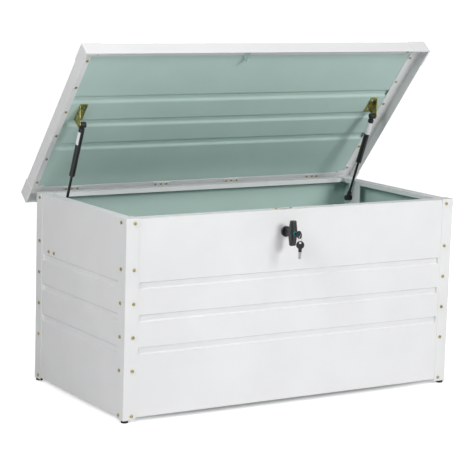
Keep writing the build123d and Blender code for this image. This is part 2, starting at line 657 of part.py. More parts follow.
def handle():
    """Grip with tapered ends, its neck and the spindle through the wall."""
    half = HANDLE_L / 2
    middle = Plane(origin=(LOCK_X, HANDLE_Y, LOCK_Z), x_dir=(1, 0, 0), z_dir=(0, 0, 1))
    centre = RectangleRounded(*GRIP_MIDDLE)
    ends = RectangleRounded(*GRIP_END)
    upper = loft([middle * centre, middle.offset(half) * ends])
    lower = loft([middle * centre, middle.offset(-half) * ends])
    grip = upper + lower
    grip = fillet(grip.edges().group_by(Axis.Z)[-1], 3.0)
    grip = fillet(grip.edges().group_by(Axis.Z)[0], 3.0)
    grip += rod_y(PLUG_R + 3, HANDLE_Y - 12, HANDLE_Y, LOCK_X, LOCK_Z)
    neck = rod_y(9.0, HANDLE_Y + 6, wall_face - 8.4, LOCK_X, LOCK_Z)
    spindle = rod_y(SPINDLE_R, wall_face - 9, wall_face + 14, LOCK_X, LOCK_Z)
    whole = grip + neck + spindle
    return whole - rod_y(PLUG_R + RUNNING_FIT, HANDLE_Y - 13, HANDLE_Y + 14, LOCK_X, LOCK_Z)


TONGUE_L = 58.0
tongue_y = wall_face + 14
tongue = block(LOCK_X - 9, LOCK_X + TONGUE_L, tongue_y, tongue_y + 2, LOCK_Z - 8, LOCK_Z + 8)
tongue += block(LOCK_X + TONGUE_L - 2, LOCK_X + TONGUE_L, tongue_y, tongue_y + 10, LOCK_Z - 8, LOCK_Z + 8)
tongue -= rod_y(2.1, tongue_y - 1, tongue_y + 3, LOCK_X, LOCK_Z)
tongue_screw = Pos(LOCK_X, tongue_y + 2, LOCK_Z) * Rot(-90, 0, 0) * pan_screw(2.0, 4.0, 2.4, 10.0)
grip = handle() - rod_y(2.05, wall_face + 3, wall_face + 15, LOCK_X, LOCK_Z)
parts["t_handle"] = grip
parts["lock_tongue"] = tongue
parts["tongue_screw"] = tongue_screw

plug_front = HANDLE_Y - 12.6
plug = rod_y(PLUG_R, plug_front, HANDLE_Y + 13.5, LOCK_X, LOCK_Z)
plug -= block(LOCK_X - 1.15, LOCK_X + 1.15, plug_front - 1, HANDLE_Y + 8, LOCK_Z - 4.3, LOCK_Z + 4.3)
parts["lock_plug"] = plug


def key_head():
    """Moulded head round the blade's end, lying in the Y-Z plane with its eye to the front."""
    head = rod_x(KEY_R, -KEY_T / 2, KEY_T / 2, KEY_Y, LOCK_Z)
    head = fillet(head.edges().filter_by(GeomType.CIRCLE), 0.8)
    head += block(-KEY_T / 2, KEY_T / 2, KEY_Y + 6, plug_front - 0.5, LOCK_Z - 5, LOCK_Z + 5)
    head -= rod_x(KEY_HOLE_R, -KEY_T, KEY_T, KEY_Y - KEY_HOLE_OFF, LOCK_Z)
    return Pos(LOCK_X, 0, 0) * head


def key_blade():
    """Flat blade with a few cuts along its lower edge."""
    start, end = plug_front - 0.5, HANDLE_Y + 7
    blade = block(-1, 1, start, end, LOCK_Z - 4, LOCK_Z + 4)
    for i, depth in enumerate((1.2, 2.0, 0.8, 1.6)):
        y = start + 9 + 5 * i
        blade -= block(-2, 2, y - 1.3, y + 1.3, LOCK_Z - 5, LOCK_Z - 4 + depth)
    return Pos(LOCK_X, 0, 0) * blade


parts["key_head"] = key_head()
parts["key_blade"] = key_blade()

eye_y = KEY_Y - KEY_HOLE_OFF
ring_z = LOCK_Z - RING_SIT - RING_R
ring = Pos(LOCK_X, eye_y, ring_z) * Rot(0, 0, RING_TURN) * Rot(90, 0, 0) * Torus(RING_R, RING_WIRE)
parts["key_ring"] = ring

# The spare key is the same key, hung with its blade down and turned a little on the ring.
eye = Pos(LOCK_X, eye_y, LOCK_Z)
hang_z = ring_z - RING_R - RING_SIT
spare_place = Pos(LOCK_X, eye_y, hang_z) * Rot(0, 0, SPARE_TURN) * Rot(-90, 0, 0) * Pos(-LOCK_X, -eye_y, -LOCK_Z)
parts["spare_key_head"] = spare_place * key_head()
parts["spare_key_blade"] = spare_place * key_blade()

# ---- latch plate under the front rim, and the striker on the lid ----

latch = block(LOCK_X - 36, LOCK_X + 36, wall_face + 3, wall_face + 30, TOP - SHEET - 1.5, TOP - SHEET)
latch -= block(LOCK_X - 18, LOCK_X + 18, wall_face + 9.5, wall_face + 28, TOP - 4, TOP)
latch_screws = []
for x in LATCH_SCREW_X:
    latch -= rod_z(2.1, TOP - 4, TOP, x, LATCH_SCREW_Y)
    latch_screws.append(Pos(x, LATCH_SCREW_Y, TOP) * pan_screw(1.95, 4.6, 2.6, 6.5))
    latch_screws.append(Pos(x, LATCH_SCREW_Y, TOP - SHEET - 1.5) * hex_nut(7.0, 3.0, 2.0))
parts["latch_plate"] = latch
parts["latch_screws"] = Compound(latch_screws)

strike_l = HINGE_Y + WALL_Y - 25.5     # the striker's hanging face, through the middle of the slot
hook_n = 575.0 - HINGE_Z
striker = block(LOCK_X - 6, LOCK_X + 6, -strike_l, -strike_l + 1.5, hook_n, LIP_N)
striker += block(LOCK_X - 6, LOCK_X + 6, -strike_l - 9, -strike_l + 1.5, hook_n, hook_n + 1.5)
striker += block(LOCK_X - 10, LOCK_X + 10, -strike_l - 36, -strike_l + 1.5, LIP_N - 1.5, LIP_N)
rivet_l = strike_l + 28
for dx in (-5, 5):
    striker -= rod_z(1.6, LIP_N - 3, LIP_N + 1, LOCK_X + dx, -rivet_l)
    rivets.append(lid_rivet(LOCK_X + dx, rivet_l, LIP_N - 1.5))
parts["lid_striker"] = LID_PLACE * striker
parts["lid_rivets"] = Compound(rivets)

# ---- set the origin under the middle of the whole box, and write one file for each piece ----

whole = Compound([shape for shape in parts.values()])
bounds = whole.bounding_box()
centre_y = (bounds.min.Y + bounds.max.Y) / 2
centre_x = (bounds.min.X + bounds.max.X) / 2
SHIFT = Pos(-centre_x, -centre_y, -bounds.min.Z)
for name, shape in parts.items():
    export_step(SHIFT * shape, f"parts/{name}.step")

print("pieces", len(parts))
print("size", round(bounds.size.X, 2), round(bounds.size.Y, 2), round(bounds.size.Z, 2))
print("shift", round(-centre_x, 4), round(-centre_y, 4), round(-bounds.min.Z, 4))
print("hinge", HINGE_Y, HINGE_Z, "strut length", round(STRUT_LENGTH, 3), "lean", round(STRUT_LEAN, 4))
print("ring eye", eye_y, "ring bottom", ring_z - RING_R)
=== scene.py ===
import json
import math

import bmesh
import bpy
from bpy.props import FloatProperty, FloatVectorProperty, PointerProperty
from mathutils import Matrix, Vector


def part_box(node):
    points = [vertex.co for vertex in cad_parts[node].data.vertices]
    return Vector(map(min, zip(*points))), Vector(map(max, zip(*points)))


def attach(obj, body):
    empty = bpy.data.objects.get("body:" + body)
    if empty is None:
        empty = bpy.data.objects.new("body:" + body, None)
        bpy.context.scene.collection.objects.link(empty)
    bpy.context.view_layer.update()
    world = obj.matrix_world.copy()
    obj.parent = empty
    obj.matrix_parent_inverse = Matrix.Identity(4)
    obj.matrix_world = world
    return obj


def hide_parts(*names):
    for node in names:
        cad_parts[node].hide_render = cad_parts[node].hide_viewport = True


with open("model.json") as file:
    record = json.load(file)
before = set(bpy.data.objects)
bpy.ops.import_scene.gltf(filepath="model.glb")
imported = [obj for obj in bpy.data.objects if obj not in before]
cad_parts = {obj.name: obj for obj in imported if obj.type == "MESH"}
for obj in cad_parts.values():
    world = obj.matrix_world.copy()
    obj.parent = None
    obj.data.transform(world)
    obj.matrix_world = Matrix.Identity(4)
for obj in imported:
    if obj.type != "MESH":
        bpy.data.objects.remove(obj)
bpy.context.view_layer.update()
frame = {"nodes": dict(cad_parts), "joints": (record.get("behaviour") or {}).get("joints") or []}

bl_info = {
    "name": "Garden Storage Box",
    "version": (1, 0, 0),
    "blender": (4, 5, 0),
    "location": "View3D > Sidebar > Storage Box",
    "description": "Builds the looks of a sheet steel storage box around its solid model",
    "category": "Object",
}

# The lid's hinge line comes from the model, and every wall and post is placed from its node's box.
LID_JOINT = next(joint for joint in frame["joints"] if joint["name"] == "lid_hinge")
HINGE = Vector(LID_JOINT["pos_m"])
LID_ANGLE = math.radians(50.5)
# Lid pieces are drawn shut, with y towards the rear and z up from the hinge line.
LID_PLACE = Matrix.Translation(HINGE) @ Matrix.Rotation(-LID_ANGLE, 4, "X")


# ---------------------------------------------------------------- settings


class BoxSizes(bpy.types.PropertyGroup):
    sheet: FloatProperty(
        name="Sheet", description="Thickness of the wall and lid sheets", default=0.001, unit="LENGTH"
    )
    post_sheet: FloatProperty(
        name="Post sheet", description="Thickness of the corner posts", default=0.0015, unit="LENGTH"
    )
    rail_sheet: FloatProperty(
        name="Rail sheet", description="Thickness of the lid's rails", default=0.0012, unit="LENGTH"
    )
    rim: FloatProperty(
        name="Rim", description="Width of the flange along the top of a wall", default=0.034, unit="LENGTH"
    )
    rim_drop: FloatProperty(
        name="Rim drop", description="Height of the rim's turned-down edge", default=0.014, unit="LENGTH"
    )
    hem: FloatProperty(
        name="Hem", description="Width of the flange under the floor", default=0.018, unit="LENGTH"
    )
    bend: FloatProperty(
        name="Bend", description="Outside radius of a folded edge", default=0.0022, unit="LENGTH"
    )
    bead_height: FloatProperty(
        name="Groove height", description="Height of a wall's pressed groove", default=0.022, unit="LENGTH"
    )
    bead_depth: FloatProperty(
        name="Groove depth", description="Depth of a wall's pressed groove", default=0.005, unit="LENGTH"
    )
    bead_slope: FloatProperty(
        name="Groove slope", description="Width of a groove's sloping side", default=0.0042, unit="LENGTH"
    )
    bead_end: FloatProperty(
        name="Groove end", description="From the end of a wall to its grooves", default=0.0445, unit="LENGTH"
    )
    bead_top: FloatProperty(
        name="Top groove", description="From a wall's lower edge to its top groove", default=0.393,
        unit="LENGTH",
    )
    bead_pitch: FloatProperty(
        name="Groove pitch", description="From one wall groove to the next", default=0.094, unit="LENGTH"
    )


class BoxColours(bpy.types.PropertyGroup):
    outside: FloatVectorProperty(
        name="Outside", description="Powder coat on the outside", subtype="COLOR", size=4,
        default=(0.80, 0.805, 0.81, 1), min=0, max=1,
    )
    inside: FloatVectorProperty(
        name="Inside", description="Powder coat on the inside and under the lid", subtype="COLOR", size=4,
        default=(0.51, 0.66, 0.615, 1), min=0, max=1,
    )
    gold: FloatVectorProperty(
        name="Yellow zinc", description="Plating on the screws", subtype="COLOR", size=4,
        default=(0.50, 0.42, 0.20, 1), min=0, max=1,
    )
    olive: FloatVectorProperty(
        name="Olive zinc", description="Plating on the lid's strut brackets", subtype="COLOR", size=4,
        default=(0.46, 0.43, 0.16, 1), min=0, max=1,
    )
    black: FloatVectorProperty(
        name="Black", description="Black enamel and plastic", subtype="COLOR", size=4,
        default=(0.014, 0.014, 0.015, 1), min=0, max=1,
    )
    teal: FloatVectorProperty(
        name="Teal", description="Enamel on the face of the lock's cylinder", subtype="COLOR", size=4,
        default=(0.0, 0.36, 0.42, 1), min=0, max=1,
    )
    steel: FloatVectorProperty(
        name="Steel", description="Bright and plated steel", subtype="COLOR", size=4,
        default=(0.62, 0.62, 0.61, 1), min=0, max=1,
    )


class BoxStage(bpy.types.PropertyGroup):
    azimuth: FloatProperty(
        name="Azimuth", description="Camera direction round the box", default=math.radians(-31.89),
        unit="ROTATION",
    )
    elevation: FloatProperty(
        name="Elevation", description="Camera height as an angle", default=math.radians(9.2), unit="ROTATION"
    )
    roll: FloatProperty(
        name="Roll", description="Camera lean", default=math.radians(1.67), unit="ROTATION"
    )
    distance: FloatProperty(
        name="Distance", description="From the camera to its target", default=5.505, unit="LENGTH"
    )
    target: FloatVectorProperty(
        name="Target", description="Point the camera looks at", default=(-0.0395, 0.0227, 0.4669),
        subtype="TRANSLATION", unit="LENGTH",
    )
    lens: FloatProperty(name="Lens", description="Focal length in millimetres", default=136.5, min=1)
    sky: FloatProperty(name="Sky", description="Brightness of the even light all round", default=0.1, min=0)
    key: FloatProperty(name="Key", description="Power of the soft light at the right", default=117, min=0)
    top: FloatProperty(name="Top", description="Power of the soft light overhead", default=20, min=0)
    fill: FloatProperty(name="Fill", description="Power of the soft light at the left", default=74, min=0)


# ---------------------------------------------------------------- materials


def node_material(name):
    """A fresh material, its node tree and its surface shader."""
    material = bpy.data.materials.new(name)
    material.use_nodes = True
    shader = material.node_tree.nodes["Principled BSDF"]
    return material, material.node_tree, shader


def object_noise(tree, scale, detail=2.0, stretch=(1, 1, 1)):
    """Noise fixed to the piece, with its features about 1 / scale metres across."""
    place = tree.nodes.new("ShaderNodeTexCoord")
    mapping = tree.nodes.new("ShaderNodeMapping")
    mapping.inputs["Scale"].default_value = stretch
    noise = tree.nodes.new("ShaderNodeTexNoise")
    noise.inputs["Scale"].default_value = scale
    noise.inputs["Detail"].default_value = detail
    tree.links.new(place.outputs["Object"], mapping.inputs["Vector"])
    tree.links.new(mapping.outputs["Vector"], noise.inputs["Vector"])
    return noise


def add_tint(tree, shader, noise, dark, light):
    """Colour that wanders between two tones."""
    ramp = tree.nodes.new("ShaderNodeValToRGB")
    ramp.color_ramp.elements[0].position = 0.35
    ramp.color_ramp.elements[0].color = dark
    ramp.color_ramp.elements[1].position = 0.65
    ramp.color_ramp.elements[1].color = light
    tree.links.new(noise.outputs["Fac"], ramp.inputs["Fac"])
    tree.links.new(ramp.outputs["Color"], shader.inputs["Base Color"])


def add_roughness(tree, shader, noise, low, high):
    spread = tree.nodes.new("ShaderNodeMapRange")
    spread.inputs["To Min"].default_value = low
    spread.inputs["To Max"].default_value = high
    tree.links.new(noise.outputs["Fac"], spread.inputs["Value"])
    tree.links.new(spread.outputs["Result"], shader.inputs["Roughness"])


def add_bump(tree, shader, noise, height, strength=1.0):
    bump = tree.nodes.new("ShaderNodeBump")
    bump.inputs["Strength"].default_value = strength
    bump.inputs["Distance"].default_value = height
    tree.links.new(noise.outputs["Fac"], bump.inputs["Height"])
    tree.links.new(bump.outputs["Normal"], shader.inputs["Normal"])


def shade(colour, factor):
    return tuple(min(1.0, c * factor) for c in colour[:3]) + (1.0,)


def powder_coat(name, colour):
    """Baked powder paint: fine orange peel, satin, with a barely uneven tone."""
    material, tree, shader = node_material(name)
    add_tint(tree, shader, object_noise(tree, 6.0, 4.0), shade(colour, 0.975), shade(colour, 1.015))
    shader.inputs["Specular IOR Level"].default_value = 0.3
    add_roughness(tree, shader, object_noise(tree, 40.0), 0.5, 0.64)
    add_bump(tree, shader, object_noise(tree, 900.0, 1.0), 0.00012, 0.35)
    return material


def zinc_plating(name, colour, low=0.75, high=1.2, scale=160.0):
    """Passivated zinc, whose colour drifts over each piece."""
    material, tree, shader = node_material(name)
    shader.inputs["Metallic"].default_value = 0.85
    add_tint(tree, shader, object_noise(tree, scale, 3.0), shade(colour, low), shade(colour, high))
    add_roughness(tree, shader, object_noise(tree, 300.0), 0.32, 0.5)
    add_bump(tree, shader, object_noise(tree, 2500.0), 0.00005, 0.3)
    return material


def hard_enamel(name, colour):
    """Hard paint over metal, slightly glossy."""
    material, tree, shader = node_material(name)
    shader.inputs["Coat Weight"].default_value = 0.35
    shader.inputs["Coat Roughness"].default_value = 0.18
    add_tint(tree, shader, object_noise(tree, 90.0), shade(colour, 0.8), shade(colour, 1.4))
    add_roughness(tree, shader, object_noise(tree, 220.0), 0.3, 0.45)
    add_bump(tree, shader, object_noise(tree, 1400.0), 0.00006, 0.3)
    return material


def black_plastic(name, colour):
    """Moulded plastic with a fine spark-eroded grain."""
    material, tree, shader = node_material(name)
    add_tint(tree, shader, object_noise(tree, 60.0), shade(colour, 0.9), shade(colour, 1.6))
    add_roughness(tree, shader, object_noise(tree, 400.0), 0.48, 0.62)
    add_bump(tree, shader, object_noise(tree, 2200.0, 1.0), 0.0001, 0.5)
    return material


def drawn_steel(name, colour, stretch, low, high):
    """Steel with fine marks along the way it was drawn or ground."""
    material, tree, shader = node_material(name)
    shader.inputs["Metallic"].default_value = 1.0
    marks = object_noise(tree, 2200.0, 2.0, stretch)
    add_tint(tree, shader, marks, shade(colour, 0.88), shade(colour, 1.08))
    add_roughness(tree, shader, marks, low, high)
    add_bump(tree, shader, marks, 0.00003, 0.3)
    return material


def finishes():
    """Every finish by name, made once and then shared."""
    colours = bpy.context.scene.box_colours
    made = {
        "white": lambda n: powder_coat(n, colours.outside),
        "green": lambda n: powder_coat(n, colours.inside),
        "gold": lambda n: zinc_plating(n, colours.gold),
        "olive": lambda n: zinc_plating(n, colours.olive, 0.45, 1.5, 60.0),
        "enamel": lambda n: hard_enamel(n, colours.black),
        "plastic": lambda n: black_plastic(n, colours.black),
        "steel": lambda n: drawn_steel(n, colours.steel, (1, 1, 1), 0.28, 0.42),
        "label": lambda n: powder_coat(n, colours.outside),
        "teal": lambda n: hard_enamel(n, colours.teal),
        "rod": lambda n: drawn_steel(n, shade(colours.steel, 0.12), (1, 1, 0.05), 0.16, 0.28),
    }
    return {name: bpy.data.materials.get(name) or make(name) for name, make in made.items()}


def paint_nodes(finish, *names):
    """Gives CAD nodes a finish in place of their plain one."""
    for name in names:
        slots = frame["nodes"][name].material_slots
        for slot in slots:
            slot.material = finish


# ---------------------------------------------------------------- sheet metal


FLAT_AREA = 0.002  # larger faces are flat panels, smaller ones belong to bends


def fold_sheet(bm, profile, length):
    """Draws an open (y, z) profile and stretches it along X, centred on the origin."""
    verts = [bm.verts.new((-length / 2, y, z)) for y, z in profile]
    edges = [bm.edges.new(pair) for pair in zip(verts, verts[1:])]
    made = bmesh.ops.extrude_edge_only(bm, edges=edges)["geom"]
    moved = [part for part in made if isinstance(part, bmesh.types.BMVert)]
    bmesh.ops.translate(bm, vec=(length, 0, 0), verts=moved)
    bmesh.ops.recalc_face_normals(bm, faces=bm.faces)


def cut(bm, point, normal, drop_outer=False, faces=None):
    """Cuts all the way across a sheet or only some of its faces, and can drop what lies beyond."""
    geometry = bm.verts[:] + bm.edges[:] + bm.faces[:]
    if faces is not None:
        edges = {edge for face in faces for edge in face.edges}
        geometry = list({vert for face in faces for vert in face.verts}) + list(edges) + list(faces)
    bmesh.ops.bisect_plane(bm, geom=geometry, plane_co=point, plane_no=normal, clear_outer=drop_outer)


def faces_between(bm, low, high):
    """Faces whose middle lies inside a box."""
    found = []
    for face in bm.faces:
        middle = face.calc_center_median()
        if all(a <= c <= b for a, c, b in zip(low, middle, high)):
            found.append(face)
    return found


def face_outwards(bm, face, direction):
    """Turns a whole sheet round if this face looks the wrong way."""
    if face.normal.dot(Vector(direction)) < 0:
        bmesh.ops.reverse_faces(bm, faces=bm.faces)


def round_bends(bm, radius, segments=4, least=math.radians(15)):
    bm.normal_update()
    bent = [edge for edge in bm.edges if len(edge.link_faces) == 2 and edge.calc_face_angle() > least]
    bmesh.ops.bevel(
        bm, geom=bent, offset=radius, segments=segments, profile=0.5, affect="EDGES", material=-1,
        clamp_overlap=True,
    )


def add_piece(name, bm, place, body, nodes, finish_list):
    """Makes the object, with its place in its mesh, riding on its body in place of its CAD nodes."""
    bmesh.ops.transform(bm, matrix=place, verts=bm.verts)
    if place.determinant() < 0:
        bmesh.ops.reverse_faces(bm, faces=bm.faces)
    for face in bm.faces:
        face.smooth = face.calc_area() < FLAT_AREA
    mesh = bpy.data.meshes.new(name)
    bm.to_mesh(mesh)
    bm.free()
    for finish in finish_list:
        mesh.materials.append(finish)
    piece = bpy.data.objects.new(name, mesh)
    bpy.context.scene.collection.objects.link(piece)
    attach(piece, body)
    if nodes:
        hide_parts(*nodes)
    return piece


def flatten_shading(piece):
    normals = piece.modifiers.new("Flat faces", "WEIGHTED_NORMAL")
    normals.keep_sharp = True


def thicken(piece, thickness):
    """Gives a sheet its thickness inwards."""
    wall = piece.modifiers.new("Thickness", "SOLIDIFY")
    wall.thickness = thickness
    wall.offset = -1
    wall.use_even_offset = True
    flatten_shading(piece)


def back_sheet(bm, thickness, straight, low, high):
    """Adds a painted sheet's other side, in the next finish of its list, and closes its edges.

    Pressed parts, between two corners, move straight back; folds move along their normals."""
    bm.normal_update()
    front = bm.verts[:]
    moves = {}
    for vert in front:
        pressed = all(a <= c <= b for a, c, b in zip(low, vert.co, high))
        moves[vert] = Vector(straight) * thickness if pressed else -vert.normal * thickness
    edges = [edge.link_loops[0] for edge in bm.edges if len(edge.link_faces) == 1]
    borders = [(loop.link_loop_next.vert, loop.vert, loop.face.material_index) for loop in edges]
    copy = bmesh.ops.duplicate(bm, geom=front + bm.edges[:] + bm.faces[:])
    faces = [part for part in copy["geom"] if isinstance(part, bmesh.types.BMFace)]
    back = copy["vert_map"]
    for vert in front:
        back[vert].co = vert.co + moves[vert]
    bmesh.ops.reverse_faces(bm, faces=faces)
    for face in faces:
        face.material_index += 1
    for start, end, material in borders:
        bm.faces.new((start, end, back[end], back[start])).material_index = material


# ---------------------------------------------------------------- walls


BEADS = 3
TOL = 0.001  # how far a face's middle may lie from the plane it is looked for on
FOLD_START = 0.003  # faces deeper than this behind the outside belong to a fold
LATCH_SLOT_HALF = 0.018  # the slot in the front rim over the latch plate, along the rim and across it
LATCH_SLOT_DEPTHS = (0.0095, 0.028)
LONG_WALL_CUTS = (0.0012, 0.0012)  # how far rim and hem stop short of the ends of the front and rear walls
SIDE_RIM_GAP = 0.0005  # from the side walls' rims and hems to those of the long walls
SIDE_HEM_GAP = 0.0006
WALL_BEVEL = 0.6  # share of the bend setting
PRESSED_EDGE = 0.01  # the pressed part of a wall ends this far from its folds
POST_BEND = 0.002


def pressed_wall(length, height, rim_cut, hem_cut, slot=None):
    """A wall standing on z = 0 with its outside on y = 0, facing -Y. Material 0 is the outside, 2 the rim."""
    sizes = bpy.context.scene.box_sizes
    bm = bmesh.new()
    rim = sizes.rim
    rim_low = height - sizes.rim_drop
    fold_sheet(bm, [(sizes.hem, 0), (0, 0), (0, height), (rim, height), (rim, rim_low)], length)
    face_outwards(bm, faces_between(bm, (-1, -TOL, 0), (1, TOL, 1))[0], (0, -1, 0))

    # The rim and the hem stop short of the wall's ends.
    for side in (-1, 1):
        for short in (rim_cut, hem_cut):
            cut(bm, (side * (length / 2 - short), 0, 0), (1, 0, 0))
    spare = []
    for side in (-1, 1):
        for low_z, high_z, short in ((rim_low, height + TOL, rim_cut), (-TOL, TOL, hem_cut)):
            ends = sorted((side * (length / 2 - short), side * length))
            spare += faces_between(bm, (ends[0], FOLD_START, low_z), (ends[1], 1, high_z))
    bmesh.ops.delete(bm, geom=list(set(spare)), context="FACES")

    # Grooves: cut their outlines, then push each one in with sloping sides.
    reach = length / 2 - sizes.bead_end
    bottoms = [sizes.bead_top - sizes.bead_height - i * sizes.bead_pitch for i in range(BEADS)]
    for side in (-1, 1):
        cut(bm, (side * reach, 0, 0), (1, 0, 0))
    for bottom in bottoms:
        cut(bm, (0, 0, bottom), (0, 0, 1))
        cut(bm, (0, 0, bottom + sizes.bead_height), (0, 0, 1))
    for bottom in bottoms:
        region = faces_between(bm, (-reach, -TOL, bottom), (reach, TOL, bottom + sizes.bead_height))
        bmesh.ops.inset_region(
            bm, faces=region, thickness=sizes.bead_slope, depth=-sizes.bead_depth, use_even_offset=True,
            use_boundary=True,
        )
    if slot:
        x0, x1, y0, y1 = slot
        top = (-length, FOLD_START, height - TOL), (length, sizes.rim, height + TOL)
        for x in (x0, x1):
            cut(bm, (x, 0, 0), (1, 0, 0), faces=faces_between(bm, *top))
        strip = (x0, FOLD_START, height - TOL), (x1, sizes.rim, height + TOL)
        for y in (y0, y1):
            cut(bm, (0, y, 0), (0, 1, 0), faces=faces_between(bm, *strip))
        hole = faces_between(bm, (x0, y0, height - TOL), (x1, y1, height + TOL))
        bmesh.ops.delete(bm, geom=hole, context="FACES")
    for face in faces_between(bm, (-1, FOLD_START, rim_low), (1, 1, 1)):
        face.material_index = 2
    round_bends(bm, sizes.bend * WALL_BEVEL)
    return bm


class STORAGEBOX_OT_walls(bpy.types.Operator):
    """Fold and press the four walls, white outside and green inside"""

    bl_idname = "storagebox.walls"
    bl_label = "Build Walls"

    def execute(self, context):
        sizes = context.scene.box_sizes
        finish = finishes()
        paint = [finish["white"], finish["green"], finish["white"], finish["white"]]
        turns = {"front_panel": 0, "right_panel": 90, "rear_panel": 180, "left_panel": -90}
        for node, turn in turns.items():
            low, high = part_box(node)
            middle = (low + high) / 2
            along_x = turn in (0, 180)
            length = (high - low).x if along_x else (high - low).y
            outside = {
                0: (middle.x, low.y), 90: (high.x, middle.y), 180: (middle.x, high.y), -90: (low.x, middle.y),
            }[turn]
            slot = None
            if node == "front_panel":
                plate_low, plate_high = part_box("latch_plate")
                centre = (plate_low + plate_high).x / 2
                slot = (centre - LATCH_SLOT_HALF, centre + LATCH_SLOT_HALF, *LATCH_SLOT_DEPTHS)
            ends = LONG_WALL_CUTS if along_x else (sizes.rim + SIDE_RIM_GAP, sizes.hem + SIDE_HEM_GAP)
            height = (high - low).z
            bm = pressed_wall(length, height, *ends, slot=slot)
            pressed = (-1, -TOL, PRESSED_EDGE), (1, PRESSED_EDGE, height - PRESSED_EDGE)
            back_sheet(bm, sizes.sheet, (0, 1, 0), *pressed)
            place = Matrix.Translation((*outside, low.z)) @ Matrix.Rotation(math.radians(turn), 4, "Z")
            piece = add_piece(node + "_sheet", bm, place, "box", [node], paint)
            flatten_shading(piece)
        return {"FINISHED"}


class STORAGEBOX_OT_posts(bpy.types.Operator):
    """Fold the four corner posts and paint their caps and feet"""

    bl_idname = "storagebox.posts"
    bl_label = "Build Posts"

    def execute(self, context):
        sizes = context.scene.box_sizes
        finish = finishes()
        centre = sum((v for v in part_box("post_caps")), Vector()) / 2
        for node in ("post_front_left", "post_front_right", "post_rear_left", "post_rear_right"):
            low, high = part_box(node)
            flange = (high - low).x
            bm = bmesh.new()
            fold_sheet(bm, [(flange, 0), (0, 0), (0, flange)], (high - low).z)
            face_outwards(bm, faces_between(bm, (-1, 0, -1), (1, 1, TOL))[0], (0, 0, -1))
            round_bends(bm, POST_BEND)
            # The sheet's length turns upright; its two flanges point back to the middle of the box.
            upright = Matrix(((0, 1, 0, 0), (0, 0, 1, 0), (1, 0, 0, 0), (0, 0, 0, 1)))
            side_x = -1 if (low + high).x / 2 > centre.x else 1
            side_y = -1 if (low + high).y / 2 > centre.y else 1
            corner = Vector((
                low.x if side_x > 0 else high.x, low.y if side_y > 0 else high.y, (low + high).z / 2,
            ))
            place = Matrix.Translation(corner) @ Matrix.Diagonal((side_x, side_y, 1, 1)) @ upright
            piece = add_piece(node + "_angle", bm, place, "box", [node], [finish["white"]])
            thicken(piece, sizes.post_sheet)
        paint_nodes(finish["white"], "post_caps")
        paint_nodes(finish["plastic"], "feet")
        return {"FINISHED"}


class STORAGEBOX_OT_inside(bpy.types.Operator):
    """Paint the floor and the strut plates inside the box"""

    bl_idname = "storagebox.inside"
    bl_label = "Finish Inside"

    def execute(self, context):
        finish = finishes()
        paint_nodes(finish["green"], "floor_panel")
        paint_nodes(finish["white"], "strut_plate_left", "strut_plate_right", "latch_plate")
        return {"FINISHED"}


# ---------------------------------------------------------------- lid


# All of these are measured from the hinge line, on the shut lid.
LID_FRONT = 0.610
LID_REAR = -0.010
LID_HALF = 0.610
LID_LIP = 0.040  # width of the rails' lips, which are narrower at the rear
LID_REAR_LIP = 0.030
LID_SHEET_Z = 0.025
RAIL_TOP = 0.034
RAIL_BOTTOM = -0.006
LIP_Z = 0.024
LID_BEADS = (0.196, 0.295, 0.394)
LID_BEAD_FOOT = 0.014  # half widths of a lid rib at its foot and on top
LID_BEAD_FLAT = 0.008
LID_BEAD_RISE = 0.006
LID_EDGE_GAP = 0.003  # the sheet ends this far inside its rails
LID_BEND = 0.0035
MITRE_TIP = 0.0001  # left off the sharp end of each mitre
RAIL_BEVEL = 0.5  # share of the bend setting


def rail_profile(lip, hem):
    """A lid rail folded from one strip: top flange, skirt, doubled hem and lower lip, as (inwards, up)."""
    return [(lip, RAIL_TOP), (0, RAIL_TOP), (0, RAIL_BOTTOM), (hem, RAIL_BOTTOM), (hem, LIP_Z), (lip, LIP_Z)]


def lid_rail(lip, length, neighbour_lips):
    """A rail along X with its outside on y = 0 and its lips towards +Y, mitred at both ends."""
    sizes = bpy.context.scene.box_sizes
    bm = bmesh.new()
    fold_sheet(bm, rail_profile(lip, 2 * sizes.rail_sheet), length)
    face_outwards(bm, faces_between(bm, (-1, -TOL, RAIL_BOTTOM), (1, TOL, RAIL_TOP))[0], (0, -1, 0))
    for side, other in zip((-1, 1), neighbour_lips):
        # The mitre runs from the outside corner to where the two inner edges meet.
        direction = Vector((side * lip, other, 0)).normalized()
        cut(bm, (side * (length / 2 - MITRE_TIP), 0, 0), direction, drop_outer=True)
    round_bends(bm, sizes.bend * RAIL_BEVEL)
    return bm


